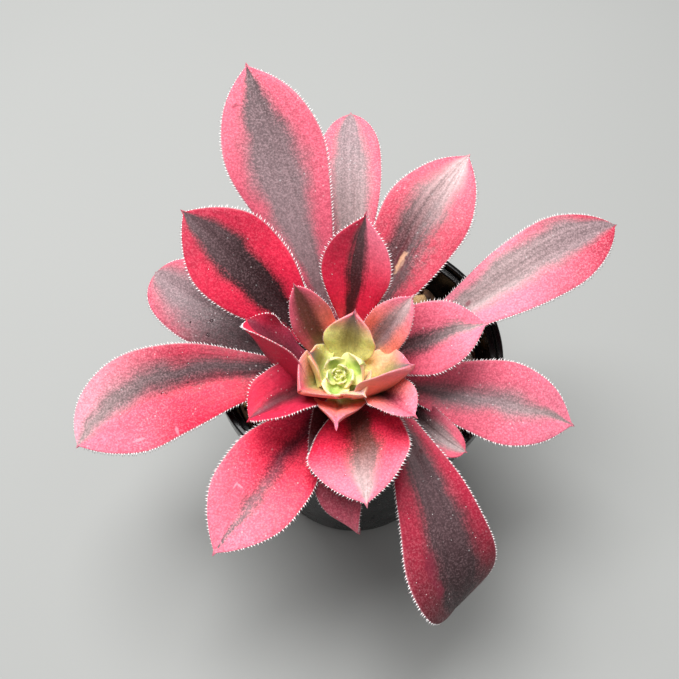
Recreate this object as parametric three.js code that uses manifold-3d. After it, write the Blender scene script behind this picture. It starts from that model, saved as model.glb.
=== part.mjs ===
// A young aeonium in a round nursery pot: a short leaning stem that carries its leaves in a
// spiral, gritty soil, and a thin-walled plastic pot.
// Millimetres, +Z up, origin at the centre of the pot's underside, +Y away from the viewer.
import * as THREE from 'three';
import { mergeVertices } from 'three/addons/utils/BufferGeometryUtils.js';
import Module from 'manifold-3d';

const wasm = await Module();
wasm.setup();

// Clearance between pieces that touch
const GAP = 0.3;

// Pot: a tapered cup with a stepped rim and drain holes in its floor
const POT_HEIGHT = 58;
const RIM_RADIUS = 32.5;
const BASE_RADIUS = 23;
const BASE_CHAMFER = 1;
const POT_WALL = 1.2;
const POT_FLOOR = 1.6;
const BAND_HEIGHT = 6.5;
const BAND_PROUD = 1.3;
const BAND_TAPER = 0.4;
const RIM_ROUND = 0.5;
const LIP_WIDTH = 1.4;
const LEDGE_DEPTH = 1.6;
const POT_SIDES = 96;
const DRAIN_HOLES = 6;
const DRAIN_RADIUS = 3;
const DRAIN_CIRCLE = 15;
const DRAIN_SIDES = 10;
const DRAIN_CUT = 8;

// Soil: a low mound that stops below the rim, with grit lying in it
const SOIL_LEVEL = 48.5;
const SOIL_MOUND = 2.5;
const SOIL_DIP = 1;
const SOIL_SLACK = 0.4;
const SOIL_RINGS = 6;
const SOIL_SIDES = 28;
const GRIT_SEED = 71;
const GRIT_COUNT = 44;
const GRIT_SMALL = 0.8;
const GRIT_LARGE = 1.9;
const GRIT_RAISED = 0.1;
const GRIT_TILT = 0.6;

// Waves of the soil's surface: how fast they turn along X and along Y, phase, height
const SOIL_WAVES = [[0.55, 0.25, 1, 0.4], [-0.4, 0.9, 2, 0.3], [1.1, -0.7, 4, 0.2]];

// A stone's half lengths along X, Y and Z as shares of its size: the least, and the random part
const GRIT_SHAPE = [[0.8, 0.5], [0.7, 0.5], [0.6, 0.3]];

// Stem: from its root in the soil to the growing point
const STEM_ROOT = [0, -3, 36];
const STEM_BEND = [-1, -6, 56];
const GROWING_POINT = [-3.6, -16.4, 74];
const STEM_RADIUS = 3.6;
const STEM_TOP_RADIUS = 2.4;
const STEM_STEPS = 10;
const STEM_SIDES = 12;

// Seats: how far below the growing point each seat of the spiral lies, a little further each time
const FIRST_SEAT = 2.4;
const SEAT_STEP = 0.5;
const SEAT_GROWTH = 0.009;

// Blades: all leaves share these
const BLADE_THICK = 2.4;
const BLADE_EDGE = 0.8;
const THICK_SHARE = 0.22;
const TIP_THINNING = 0.5;
const FOOT_WIDTH = 4.6;
const FOOT_FADE = 3;
const FOOT_CLEAR = 0.35;
const TIP_WIDTH = 0.7;
const MIDRIB_ROUND = 0.32;
const ROW_CROWDING = 1.6;

// Teeth along the margin of a blade
const TOOTH_LENGTH = 0.6;
const TOOTH_LEAN = 0.65;
const TOOTH_FROM = 0.2;
const TOOTH_INNER = 0.9;

// Heart: the youngest leaves round the growing point, grown together with a cone inside them
const HEART_LEAVES = 7;
const HEART_TURN = 137.5;
const HEART_AZIMUTH = 27;
const HEART_SHRINK = 0.83;
const HEART_REACH = 5;
const HEART_RISE = 4.6;
const HEART_TOP = 3;
const HEART_WIDTH = 7.6;
const HEART_BLADE = { widest: 0.62, point: 0.5, fold: 36, roll: 0 };
const HEART_FOOT = 0.3;
const HEART_FOOT_RISE = 0.5;
const HEART_FOOT_STEP = 0.12;
const HEART_HANDLE = 0.42;
const HEART_LIFT = 0.2;
const HEART_CURL = 0.1;
const HEART_CORE = 2.2;
const HEART_CORE_RISE = 2.9;
const HEART_CORE_SIDES = 10;

// Rows and columns of faces on a blade, by age
const BLADE_MESH = { inner: [9, 4], middle: [12, 4], outer: [16, 4] };
const HEART_MESH = [7, 4];

// The open leaves, youngest first.
// seat: place in the spiral, counted from the growing point
// azimuth, reach: the tip's direction and distance from the growing point, seen from above
// height: the tip's height above the table
// leave, arrive: [turn, pitch] of the midrib at the stem and at the tip, in degrees, where
// turn is measured from the azimuth
// width: full width; widest: where along the leaf; point: 0.5 for a round tip, 1 for a sharp one
// fold: how far each half rises from the midrib; roll: how far the blade turns about its midrib
const LEAVES = [
  { name: 'leaf_inner_1', seat: 0, azimuth: 160, reach: 6.2, height: 78.6,
    leave: [6, 12], arrive: [0, 50], width: 8.2, widest: 0.42, point: 0.7, fold: 18, roll: 34 },
  { name: 'leaf_inner_2', seat: 1, azimuth: 306, reach: 7.3, height: 77,
    leave: [0, 12], arrive: [0, 8], width: 9, widest: 0.5, point: 0.75, fold: 32, roll: -18 },
  { name: 'leaf_inner_3', seat: 2, azimuth: 72, reach: 8, height: 84,
    leave: [0, 62], arrive: [0, 74], width: 10.5, widest: 0.5, point: 1, fold: 20, roll: 0 },
  { name: 'leaf_inner_4', seat: 3, azimuth: 211, reach: 8.8, height: 76.5,
    leave: [-12, 5], arrive: [12, 38], width: 15, widest: 0.6, point: 0.55, fold: 42, roll: 27 },
  { name: 'leaf_inner_5', seat: 4, azimuth: 352, reach: 13, height: 81,
    leave: [-25, 13], arrive: [12, 36], width: 14.5, widest: 0.5, point: 0.8, fold: 38, roll: -36 },
  { name: 'leaf_middle_1', seat: 5, azimuth: 128, reach: 14, height: 88,
    leave: [10, 45], arrive: [6, 50], width: 8.6, widest: 0.6, point: 0.75, fold: 20, roll: 0 },
  { name: 'leaf_inner_6', seat: 6, azimuth: 266, reach: 12.5, height: 77,
    leave: [-5, -8], arrive: [5, 15], width: 10, widest: 0.34, point: 1.6, fold: 20, roll: 0 },
  { name: 'leaf_middle_2', seat: 7, azimuth: 37, reach: 16.6, height: 86,
    leave: [-5, 38], arrive: [4, 40], width: 9.2, widest: 0.6, point: 0.8, fold: 20, roll: 0 },
  { name: 'leaf_middle_3', seat: 8, azimuth: 206, reach: 19.5, height: 72,
    leave: [0, 20], arrive: [0, -20], width: 14.5, widest: 0.6, point: 0.66, fold: 38, roll: 36 },
  { name: 'leaf_middle_4', seat: 9, azimuth: 323, reach: 17, height: 77,
    leave: [0, 20], arrive: [0, -5], width: 10.4, widest: 0.7, point: 0.7, fold: 35, roll: -35 },
  { name: 'leaf_middle_5', seat: 10, azimuth: 78, reach: 22, height: 96,
    leave: [0, 55], arrive: [-8, 55], width: 14.4, widest: 0.68, point: 1.2, fold: 20, roll: 0 },
  { name: 'leaf_middle_6', seat: 12, azimuth: 18, reach: 30, height: 78,
    leave: [0, 30], arrive: [0, -10], width: 14.5, widest: 0.6, point: 1.05, fold: 15, roll: 0 },
  { name: 'leaf_middle_7', seat: 13, azimuth: 151, reach: 21, height: 78,
    leave: [60, 22], arrive: [-18, 12], width: 17.5, widest: 0.66, point: 0.62, fold: 34, roll: 36 },
  { name: 'leaf_middle_8', seat: 14, azimuth: 281, reach: 24.5, height: 68,
    leave: [0, 10], arrive: [0, -20], width: 20.2, widest: 0.6, point: 1, fold: 12, roll: 0 },
  { name: 'leaf_outer_1', seat: 15, azimuth: 60.5, reach: 56, height: 84,
    leave: [3, 30], arrive: [-8, 10], width: 18.8, widest: 0.66, point: 0.95, fold: 10, roll: 0 },
  { name: 'leaf_outer_2', seat: 16, azimuth: 187, reach: 55.5, height: 56,
    leave: [-6, 12], arrive: [35, -25], width: 21, widest: 0.7, point: 0.8, fold: 8, roll: 0 },
  { name: 'leaf_outer_3', seat: 17, azimuth: 357, reach: 49, height: 57,
    leave: [-8, 8], arrive: [-6, -30], width: 17.2, widest: 0.66, point: 1.05, fold: 8, roll: 0 },
  { name: 'leaf_outer_4', seat: 18, azimuth: 137, reach: 43, height: 88,
    leave: [0, 30], arrive: [6, 20], width: 19.4, widest: 0.68, point: 1, fold: 12, roll: 0 },
  { name: 'leaf_outer_5', seat: 19, azimuth: 232, reach: 39, height: 60,
    leave: [0, 5], arrive: [0, -25], width: 18.4, widest: 0.62, point: 0.95, fold: 10, roll: 0 },
  { name: 'leaf_outer_6', seat: 20, azimuth: 33.2, reach: 73.5, height: 71,
    leave: [-7, 15], arrive: [-5, 0], width: 17, widest: 0.72, point: 0.8, fold: 10, roll: 0 },
  { name: 'leaf_outer_7', seat: 21, azimuth: 142, reach: 53.5, height: 63,
    leave: [4, 8], arrive: [-10, -8], width: 18, widest: 0.68, point: 0.5, fold: 8, roll: 0 },
  { name: 'leaf_outer_8', seat: 22, azimuth: 302.5, reach: 43.5, height: 42,
    leave: [6, 42], arrive: [-30, -65], width: 20.5, widest: 0.82, point: 0.4, fold: 8, roll: 0 },
  { name: 'leaf_outer_9', seat: 23, azimuth: 108, reach: 64, height: 98,
    leave: [0, 35], arrive: [0, 25], width: 21.5, widest: 0.72, point: 1, fold: 12, roll: 0 },
  { name: 'leaf_outer_11', seat: 24, azimuth: 277, reach: 25.4, height: 55,
    leave: [-38, 52], arrive: [40, -50], width: 10, widest: 0.6, point: 0.75, fold: 10, roll: 0 },
  { name: 'leaf_outer_10', seat: 25, azimuth: 338, reach: 27, height: 60.5,
    leave: [0, 14], arrive: [0, -12], width: 8, widest: 0.65, point: 0.45, fold: 10, roll: 0 },
  { name: 'leaf_outer_12', seat: 28, azimuth: 88, reach: 66, height: 80,
    leave: [0, 25], arrive: [0, 15], width: 14.5, widest: 0.78, point: 0.6, fold: 8, roll: 0 },
];

// Colours of the leaves by age, and the looks of the rest
const LEAF_COLOURS = { inner: '#d9705c', middle: '#c4213a', outer: '#b93350' };
const LEAF_ROUGHNESS = 0.6;
const HEART_LOOK = { color: '#c8cf72', roughness: 0.55 };
const STEM_LOOK = { color: '#6d4a3a', roughness: 0.8 };
const SOIL_LOOK = { color: '#3a2a20', roughness: 0.95 };
const POT_LOOK = { color: '#17181a', roughness: 0.35 };

// Corners closer than this are one
const WELD = 1e-4;

// Factor and modulus of the random numbers
const RANDOM_FACTOR = 16807;
const RANDOM_MODULUS = 2147483647;

const vec = (p) => new THREE.Vector3(...p);
const radians = THREE.MathUtils.degToRad;

// A generator of repeatable random numbers from 0 to 1
function seeded(seed) {
  let state = seed;
  return () => {
    state = (state * RANDOM_FACTOR) % RANDOM_MODULUS;
    return state / RANDOM_MODULUS;
  };
}

function solidFrom(positions, triangles) {
  return new wasm.Manifold(new wasm.Mesh({
    numProp: 3,
    vertProperties: new Float32Array(positions.flat()),
    triVerts: new Uint32Array(triangles.flat()),
  }));
}

function solidFromGeometry(geometry) {
  const bare = geometry.clone();
  bare.deleteAttribute('normal');
  bare.deleteAttribute('uv');
  const merged = mergeVertices(bare, WELD);
  return new wasm.Manifold(new wasm.Mesh({
    numProp: 3,
    vertProperties: new Float32Array(merged.attributes.position.array),
    triVerts: new Uint32Array(merged.index.array),
  }));
}

function geometryFrom(solid) {
  const mesh = solid.getMesh();
  const geometry = new THREE.BufferGeometry();
  geometry.setAttribute('position', new THREE.BufferAttribute(new Float32Array(mesh.vertProperties), 3));
  geometry.setIndex(new THREE.BufferAttribute(new Uint32Array(mesh.triVerts), 1));
  geometry.computeVertexNormals();
  return geometry;
}

const joined = (solids) => solids.reduce((all, solid) => all.add(solid));

function largestPiece(solid) {
  return solid.decompose().reduce((best, piece) => (piece.volume() > best.volume() ? piece : best));
}

function boxesMeet(a, b) {
  const [p, q] = [a.boundingBox(), b.boundingBox()];
  return [0, 1, 2].every((k) => p.min[k] < q.max[k] && q.min[k] < p.max[k]);
}

// Pot

function potRadiusAt(z) {
  const rim = RIM_RADIUS - BAND_PROUD;
  return THREE.MathUtils.lerp(BASE_RADIUS, rim, z / POT_HEIGHT);
}

const wallRadiusAt = (z) => potRadiusAt(z) - POT_WALL;

function potSolid() {
  const band = POT_HEIGHT - BAND_HEIGHT;
  const ledge = POT_HEIGHT - LEDGE_DEPTH;
  const lip = RIM_RADIUS - LIP_WIDTH;
  const profile = [
    [0, 0],
    [BASE_RADIUS - BASE_CHAMFER, 0],
    [potRadiusAt(BASE_CHAMFER), BASE_CHAMFER],
    [potRadiusAt(band), band],
    [RIM_RADIUS - BAND_TAPER, band + RIM_ROUND],
    [RIM_RADIUS, POT_HEIGHT - RIM_ROUND],
    [RIM_RADIUS - RIM_ROUND, POT_HEIGHT],
    [lip, POT_HEIGHT],
    [lip, ledge],
    [wallRadiusAt(ledge), ledge],
    [wallRadiusAt(POT_FLOOR), POT_FLOOR],
    [0, POT_FLOOR],
  ];
  const lathe = new THREE.LatheGeometry(profile.map((p) => new THREE.Vector2(...p)), POT_SIDES);
  lathe.rotateX(Math.PI / 2);
  const holes = [];
  for (let k = 0; k < DRAIN_HOLES; k++) {
    const angle = (2 * Math.PI * k) / DRAIN_HOLES;
    const hole = new THREE.CylinderGeometry(DRAIN_RADIUS, DRAIN_RADIUS, DRAIN_CUT, DRAIN_SIDES);
    hole.rotateX(Math.PI / 2);
    hole.translate(DRAIN_CIRCLE * Math.cos(angle), DRAIN_CIRCLE * Math.sin(angle), 0);
    holes.push(solidFromGeometry(hole));
  }
  return solidFromGeometry(lathe).subtract(joined(holes));
}

// Stem

const stemCurve = new THREE.QuadraticBezierCurve3(vec(STEM_ROOT), vec(STEM_BEND), vec(GROWING_POINT));
const stemLength = stemCurve.getLength();

const stemRadiusAt = (along) => THREE.MathUtils.lerp(STEM_RADIUS, STEM_TOP_RADIUS, along ** 2);

// Rings round the stem's curve, grown by a margin all round
function stemSolid(margin) {
  const positions = [];
  const triangles = [];
  for (let i = 0; i <= STEM_STEPS; i++) {
    const along = i / STEM_STEPS;
    const ahead = stemCurve.getTangentAt(along);
    const centre = stemCurve.getPointAt(along);
    if (i === 0) centre.addScaledVector(ahead, -margin);
    if (i === STEM_STEPS) centre.addScaledVector(ahead, margin);
    const side = new THREE.Vector3(1, 0, 0).projectOnPlane(ahead).normalize();
    const front = new THREE.Vector3().crossVectors(ahead, side);
    const radius = stemRadiusAt(along) + margin;
    for (let k = 0; k < STEM_SIDES; k++) {
      const angle = (2 * Math.PI * k) / STEM_SIDES;
      positions.push(centre.clone()
        .addScaledVector(side, radius * Math.cos(angle))
        .addScaledVector(front, radius * Math.sin(angle))
        .toArray());
    }
  }
  for (let i = 0; i < STEM_STEPS; i++) {
    for (let k = 0; k < STEM_SIDES; k++) {
      const a = i * STEM_SIDES + k;
      const b = i * STEM_SIDES + ((k + 1) % STEM_SIDES);
      triangles.push([a, b, b + STEM_SIDES], [a, b + STEM_SIDES, a + STEM_SIDES]);
    }
  }
  const top = STEM_STEPS * STEM_SIDES;
  for (let k = 1; k < STEM_SIDES - 1; k++) {
    triangles.push([0, k + 1, k], [top, top + k, top + k + 1]);
  }
  return solidFrom(positions, triangles);
}

// Soil

function soilHeightAt(x, y) {
  const radius = Math.hypot(x, y) / wallRadiusAt(SOIL_LEVEL);
  const waves = SOIL_WAVES.map(([a, b, phase, height]) => height * Math.sin(a * x + b * y + phase));
  return waves.reduce((sum, wave) => sum + wave, SOIL_LEVEL + SOIL_MOUND * (1 - radius ** 2));
}

// A stone: a ball of twenty faces pushed out of round
function stoneSolid(x, y, size, random) {
  const stone = new THREE.IcosahedronGeometry(size, 0);
  stone.scale(...GRIT_SHAPE.map(([least, spread]) => least + spread * random()));
  stone.rotateX(GRIT_TILT * random());
  stone.rotateZ(2 * Math.PI * random());
  stone.translate(x, y, soilHeightAt(x, y) + size * GRIT_RAISED);
  return solidFromGeometry(stone);
}

function soilSolid() {
  const floor = POT_FLOOR + GAP;
  const positions = [[0, 0, floor], [0, 0, soilHeightAt(0, 0)]];
  const triangles = [];
  const at = (ring, k) => 2 + ring * SOIL_SIDES + (k % SOIL_SIDES);
  for (let ring = 0; ring <= SOIL_RINGS; ring++) {
    for (let k = 0; k < SOIL_SIDES; k++) {
      const angle = (2 * Math.PI * k) / SOIL_SIDES;
      const share = Math.min(1, (ring + 1) / SOIL_RINGS);
      const wall = wallRadiusAt(ring < SOIL_RINGS ? SOIL_LEVEL - SOIL_DIP : floor);
      const radius = share * (wall - SOIL_SLACK);
      const [x, y] = [radius * Math.cos(angle), radius * Math.sin(angle)];
      positions.push([x, y, ring < SOIL_RINGS ? soilHeightAt(x, y) : floor]);
    }
  }
  for (let k = 0; k < SOIL_SIDES; k++) {
    triangles.push([1, at(0, k), at(0, k + 1)], [0, at(SOIL_RINGS, k + 1), at(SOIL_RINGS, k)]);
    for (let ring = 0; ring < SOIL_RINGS; ring++) {
      const [a, b] = [at(ring, k), at(ring + 1, k)];
      const [c, d] = [at(ring + 1, k + 1), at(ring, k + 1)];
      triangles.push([a, b, c], [a, c, d]);
    }
  }
  const random = seeded(GRIT_SEED);
  const stones = [];
  for (let n = 0; n < GRIT_COUNT; n++) {
    const size = GRIT_SMALL + (GRIT_LARGE - GRIT_SMALL) * random() ** 2;
    const radius = (wallRadiusAt(SOIL_LEVEL) - 2 * size - SOIL_SLACK) * Math.sqrt(random());
    const angle = 2 * Math.PI * random();
    stones.push(stoneSolid(radius * Math.cos(angle), radius * Math.sin(angle), size, random));
  }
  return largestPiece(joined([solidFrom(positions, triangles), ...stones]).subtract(stemSolid(GAP)));
}

// Leaves

function direction(azimuth, pitch) {
  const [a, p] = [radians(azimuth), radians(pitch)];
  return new THREE.Vector3(Math.cos(a) * Math.cos(p), Math.sin(a) * Math.cos(p), Math.sin(p));
}

// The midrib's curve, and the sideways direction of the blade at the stem
function midribOf(leaf) {
  const below = FIRST_SEAT + SEAT_STEP * leaf.seat + SEAT_GROWTH * leaf.seat ** 2;
  const along = 1 - below / stemLength;
  const axis = stemCurve.getTangentAt(along);
  const tip = vec(GROWING_POINT).addScaledVector(direction(leaf.azimuth, 0), leaf.reach);
  tip.z = leaf.height;
  const [leaving, arriving] = [leaf.leave, leaf.arrive]
    .map(([turn, pitch]) => direction(leaf.azimuth + turn, pitch));
  const out = leaving.clone().projectOnPlane(axis).normalize();
  const start = stemCurve.getPointAt(along).addScaledVector(out, stemRadiusAt(along) + FOOT_CLEAR);
  const handle = start.distanceTo(tip) / 3;
  const curve = new THREE.CubicBezierCurve3(
    start,
    start.clone().addScaledVector(leaving, handle),
    tip.clone().addScaledVector(arriving, -handle),
    tip,
  );
  return { curve, side: new THREE.Vector3().crossVectors(axis, out) };
}

// Half the blade's width at u, from 0 at the stem to 1 at the tip
function halfWidth(leaf, u) {
  const rise = (leaf.point * leaf.widest) / (1 - leaf.widest);
  const shape = (u / leaf.widest) ** rise * ((1 - u) / (1 - leaf.widest)) ** leaf.point;
  const foot = Math.min(FOOT_WIDTH, leaf.width / 2) * (1 - u) ** FOOT_FADE;
  return Math.max(leaf.width * shape + foot, TIP_WIDTH) / 2;
}

// A point of the blade: v runs from -1 to 1 across it, face is 1 above and -1 below
function bladePoint(leaf, midrib, u, v, face, margin = 0) {
  const ahead = midrib.curve.getTangent(u);
  const turned = radians(leaf.roll) * (1 - (1 - u) ** 2);
  const side = midrib.side.clone().projectOnPlane(ahead).normalize().applyAxisAngle(ahead, turned);
  const up = new THREE.Vector3().crossVectors(ahead, side);
  const half = halfWidth(leaf, u) + margin;
  const fold = radians(leaf.fold);
  const trough = Math.hypot(v, MIDRIB_ROUND) - MIDRIB_ROUND;
  const full = Math.min(BLADE_THICK, leaf.width * THICK_SHARE) * (1 - TIP_THINNING * u * u);
  const thick = BLADE_EDGE + (full - BLADE_EDGE) * (1 - v * v);
  const lift = half * Math.sin(fold) * trough + (face > 0 ? margin : -thick - margin);
  return midrib.curve.getPoint(u)
    .addScaledVector(side, half * v * Math.cos(fold))
    .addScaledVector(up, lift);
}

const ageOf = (leaf) => leaf.name.split('_')[1];

// The point of the tooth at u on one margin, v being 1 or -1
function toothPoint(leaf, midrib, u, v) {
  const upper = bladePoint(leaf, midrib, u, v, 1);
  const lower = bladePoint(leaf, midrib, u, v, -1);
  const out = upper.clone().sub(bladePoint(leaf, midrib, u, v * TOOTH_INNER, 1)).normalize();
  return upper.lerp(lower, 0.5).addScaledVector(out, TOOTH_LENGTH);
}

// The blade: two faces split alike, joined across both ends and round the margin, where each
// row ends in a tooth if it is toothed
function bladeSolid(leaf, midrib, [rows, columns], { margin = 0, toothed = false } = {}) {
  const positions = [];
  const triangles = [];
  const quad = (a, b, c, d) => triangles.push([a, b, c], [a, c, d]);
  const above = (i, j) => 2 * (i * (columns + 1) + j);
  const below = (i, j) => above(i, j) + 1;
  const along = (row) => 1 - (1 - row / rows) ** ROW_CROWDING;
  for (let i = 0; i <= rows; i++) {
    for (let j = 0; j <= columns; j++) {
      const v = (2 * j) / columns - 1;
      positions.push(bladePoint(leaf, midrib, along(i), v, 1, margin).toArray());
      positions.push(bladePoint(leaf, midrib, along(i), v, -1, margin).toArray());
    }
  }
  for (let i = 0; i < rows; i++) {
    for (let j = 0; j < columns; j++) {
      const corners = [[i, j], [i + 1, j], [i + 1, j + 1], [i, j + 1]];
      if (j >= columns / 2) corners.push(corners.shift());
      quad(...corners.map((corner) => above(...corner)));
      const [a, b, c, d] = corners.map((corner) => below(...corner));
      triangles.push([a, c, b], [a, d, c]);
    }
    const left = [above(i, 0), below(i, 0), below(i + 1, 0), above(i + 1, 0)];
    const right = [above(i, columns), above(i + 1, columns), below(i + 1, columns), below(i, columns)];
    if (toothed && along(i) > TOOTH_FROM) {
      for (const [v, edge] of [[-1, left], [1, right]]) {
        const apex = positions.length;
        positions.push(toothPoint(leaf, midrib, along(i + TOOTH_LEAN), v).toArray());
        edge.forEach((corner, k) => triangles.push([corner, edge[(k + 1) % 4], apex]));
      }
    } else {
      quad(...left);
      quad(...right);
    }
  }
  for (let j = 0; j < columns; j++) {
    quad(above(0, j), above(0, j + 1), below(0, j + 1), below(0, j));
    quad(above(rows, j), below(rows, j), below(rows, j + 1), above(rows, j + 1));
  }
  return solidFrom(positions, triangles);
}

const leafSolid = (leaf, midrib) => bladeSolid(leaf, midrib, BLADE_MESH[ageOf(leaf)], { toothed: true });

// The room that an older leaf leaves free: the blade grown by the gap and as wide as its teeth
function roomSolid(leaf, midrib) {
  const wide = { ...leaf, width: leaf.width + 2 * TOOTH_LENGTH };
  return bladeSolid(wide, midrib, BLADE_MESH[ageOf(leaf)], { margin: GAP });
}

// Heart

function heartSolids(margin) {
  const axis = stemCurve.getTangentAt(1);
  const base = vec(GROWING_POINT).addScaledVector(axis, GAP);
  const rise = HEART_CORE_RISE + 2 * margin;
  const core = new THREE.ConeGeometry(HEART_CORE + margin, rise, HEART_CORE_SIDES);
  core.rotateX(Math.PI / 2);
  core.translate(0, 0, HEART_CORE_RISE / 2);
  core.applyQuaternion(new THREE.Quaternion().setFromUnitVectors(new THREE.Vector3(0, 0, 1), axis));
  core.translate(...base.toArray());
  const solids = [solidFromGeometry(core)];
  for (let k = 0; k < HEART_LEAVES; k++) {
    const out = direction(HEART_AZIMUTH - HEART_TURN * k, 0).projectOnPlane(axis).normalize();
    const size = HEART_SHRINK ** k;
    const foot = HEART_FOOT_RISE + HEART_FOOT_STEP * k;
    const start = base.clone().addScaledVector(axis, foot).addScaledVector(out, HEART_FOOT);
    const tip = base.clone().addScaledVector(out, HEART_REACH * size);
    tip.addScaledVector(axis, THREE.MathUtils.lerp(HEART_TOP, HEART_RISE, size));
    const handle = HEART_HANDLE * start.distanceTo(tip);
    const curve = new THREE.CubicBezierCurve3(
      start,
      start.clone().addScaledVector(out, handle).addScaledVector(axis, HEART_LIFT * handle),
      tip.clone().addScaledVector(axis, -handle).addScaledVector(out, -HEART_CURL * handle),
      tip,
    );
    const leaf = { ...HEART_BLADE, width: HEART_WIDTH * size };
    const side = new THREE.Vector3().crossVectors(axis, out);
    solids.push(bladeSolid(leaf, { curve, side }, HEART_MESH, { margin }));
  }
  return solids;
}

// Assembly

const group = new THREE.Group();

function add(name, solid, look) {
  const mesh = new THREE.Mesh(geometryFrom(solid), new THREE.MeshStandardMaterial(look));
  mesh.name = name;
  group.add(mesh);
}

add('pot', potSolid(), POT_LOOK);
add('soil', soilSolid(), SOIL_LOOK);
add('stem', stemSolid(0), STEM_LOOK);

const stemRoom = stemSolid(GAP);
add('heart', joined(heartSolids(0)).subtract(stemRoom), HEART_LOOK);

const rooms = heartSolids(GAP);
for (const leaf of LEAVES) {
  const midrib = midribOf(leaf);
  const grown = leafSolid(leaf, midrib);
  const inTheWay = [stemRoom, ...rooms].filter((room) => boxesMeet(grown, room));
  const solid = largestPiece(inTheWay.reduce((rest, room) => rest.subtract(room), grown));
  add(leaf.name, solid, { color: LEAF_COLOURS[ageOf(leaf)], roughness: LEAF_ROUGHNESS });
  rooms.push(roomSolid(leaf, midrib));
}

export default group;
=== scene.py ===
"""Looks of a potted aeonium: velvety striped leaves with a white fringe, a pale green heart,
a scarred stem, gritty soil and a glossy black nursery pot. Metres, +Z up."""
import math

import bpy
import numpy as np
from mathutils import Matrix, Vector, noise


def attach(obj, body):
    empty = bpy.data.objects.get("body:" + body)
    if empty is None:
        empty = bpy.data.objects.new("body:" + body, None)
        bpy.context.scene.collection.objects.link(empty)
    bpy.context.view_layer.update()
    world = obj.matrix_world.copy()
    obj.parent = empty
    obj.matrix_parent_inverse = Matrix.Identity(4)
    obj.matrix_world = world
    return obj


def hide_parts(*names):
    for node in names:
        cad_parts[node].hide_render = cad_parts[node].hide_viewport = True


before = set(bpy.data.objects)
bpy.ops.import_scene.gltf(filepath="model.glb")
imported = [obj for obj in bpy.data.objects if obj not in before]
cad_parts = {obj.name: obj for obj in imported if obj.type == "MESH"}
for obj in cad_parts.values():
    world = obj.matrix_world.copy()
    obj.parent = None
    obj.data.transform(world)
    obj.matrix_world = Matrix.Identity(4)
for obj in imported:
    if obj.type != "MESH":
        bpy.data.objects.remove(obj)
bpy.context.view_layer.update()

# Lengths below are in millimetres, as in the part's source, and become metres in the meshes
MM = 0.001

# The photograph's camera
CAMERA_PLACE = (-3.894, -93.099, 209.719)
CAMERA_PITCH = 58
SENSOR = 36
PHOTO_SIZE = 679
FOCAL_PIXELS = 800

# Light and floor
SKY_STRENGTH = 0.34
LAMP_PLACE = (-110, 140, 650)
LAMP_AIM = (0, 0, 60)
LAMP_SIZE = 480
LAMP_WATTS = 7.1
FLOOR_SIZE = 3000
FLOOR_COLOUR = "9c9d9b"

# Stem and seats of the leaves
STEM_ROOT = (0, -3, 36)
STEM_BEND = (-1, -6, 56)
GROWING_POINT = (-3.6, -16.4, 74)
STEM_RADIUS = 3.6
STEM_TOP_RADIUS = 2.4
STEM_TOP_ROUND = 0.9
STEM_RINGS = 110
STEM_SIDES = 48
BARK_RELIEF = 0.16
SCAR_DEPTH = 0.22
SCAR_SIZE = 0.55
SCAR_WIDTH = 1.4
OLD_SCARS = 14
FIRST_SEAT = 2.4
SEAT_STEP = 0.5
SEAT_GROWTH = 0.009

# Blades
BLADE_THICK = 2.4
BLADE_EDGE = 0.6
THICK_SHARE = 0.22
TIP_THINNING = 0.5
FOOT_WIDTH = 4.6
FOOT_FADE = 3
FOOT_CLEAR = 0.35
TIP_WIDTH = 0.7
MIDRIB_ROUND = 0.32
ROW_CROWDING = 1.6

# Finer form of the blades
BLADE_GRIDS = {"inner": (44, 20), "middle": (64, 24), "outer": (96, 28)}
FOOT_SUNK = 1.6
FOOT_SHRINK = 0.8
EDGE_ROUNDING = 12
GROOVE_DEPTH = 0.2
GROOVE_WIDTH = 0.1
NORMAL_STEP = 0.01
PILLOW = 0.03
WAVE_HEIGHT = 0.045
WAVES = 2.3
OUTLINE_WAVE = 0.012
OUTLINE_WAVES = 3.7
SPIKE_RINGS = ((0.25, 0.72), (0.6, 0.4), (0.85, 0.18))
SPIKE_LENGTH = 0.9

# Fringe of hairs along the margins, full grown on blades as wide as HAIR_FULL, short on young ones
HAIR_PITCH = 0.66
HAIR_LENGTH = 0.68
HAIR_SPREAD = 0.3
HAIR_RADIUS = 0.16
HAIR_LEAN = 0.5
HAIR_STRAY = 0.14
HAIR_SUNK = 0.15
HAIR_JITTER = 0.3
HAIR_GROWTH = (-0.05, 0.2)
MARGIN_SAMPLES = 500
MARGIN_END = 0.999
HAIR_FULL = 17
HAIR_LEAST = 0.28

# Dew and dust on the blades
DEW_SIDES = 10
DEW_RINGS = 4
DEW_HEIGHT = 0.62
DROP_SUNK = 0.1
DUST_RADIUS = (0.04, 0.1)
DUST_ALONG = (0.15, 0.95)
DUST_ACROSS = (-0.85, 0.85)

# Numbers of a leaf's materials after its velvet
FRINGE, DEW, DUST = 1, 2, 3

# Heart: the youngest leaves
HEART_LEAVES = 13
HEART_TURN = 137.5
HEART_AZIMUTH = 27
HEART_SHRINK = 0.83
HEART_REACH = 4.5
HEART_RISE = 4.2
HEART_TOP = 3
HEART_WIDTH = 6.8
HEART_FOOT = 0.3
HEART_FOOT_RISE = 0.5
HEART_FOOT_STEP = 0.12
HEART_HANDLE = 0.42
HEART_LIFT = 0.2
HEART_CURL = -0.25
HEART_GRID = (30, 20)
HEART_FORM = {"widest": 0.52, "point": 0.8, "fold": 22, "roll": 0, "edge": 0.35, "groove": 0.03}
HEART_BASE_LIFT = 0.3

# Seeds of random draws, to which an open leaf adds its seat and a heart leaf its number
LEAF_SEED = 1000
HEART_SEED = 100

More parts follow.
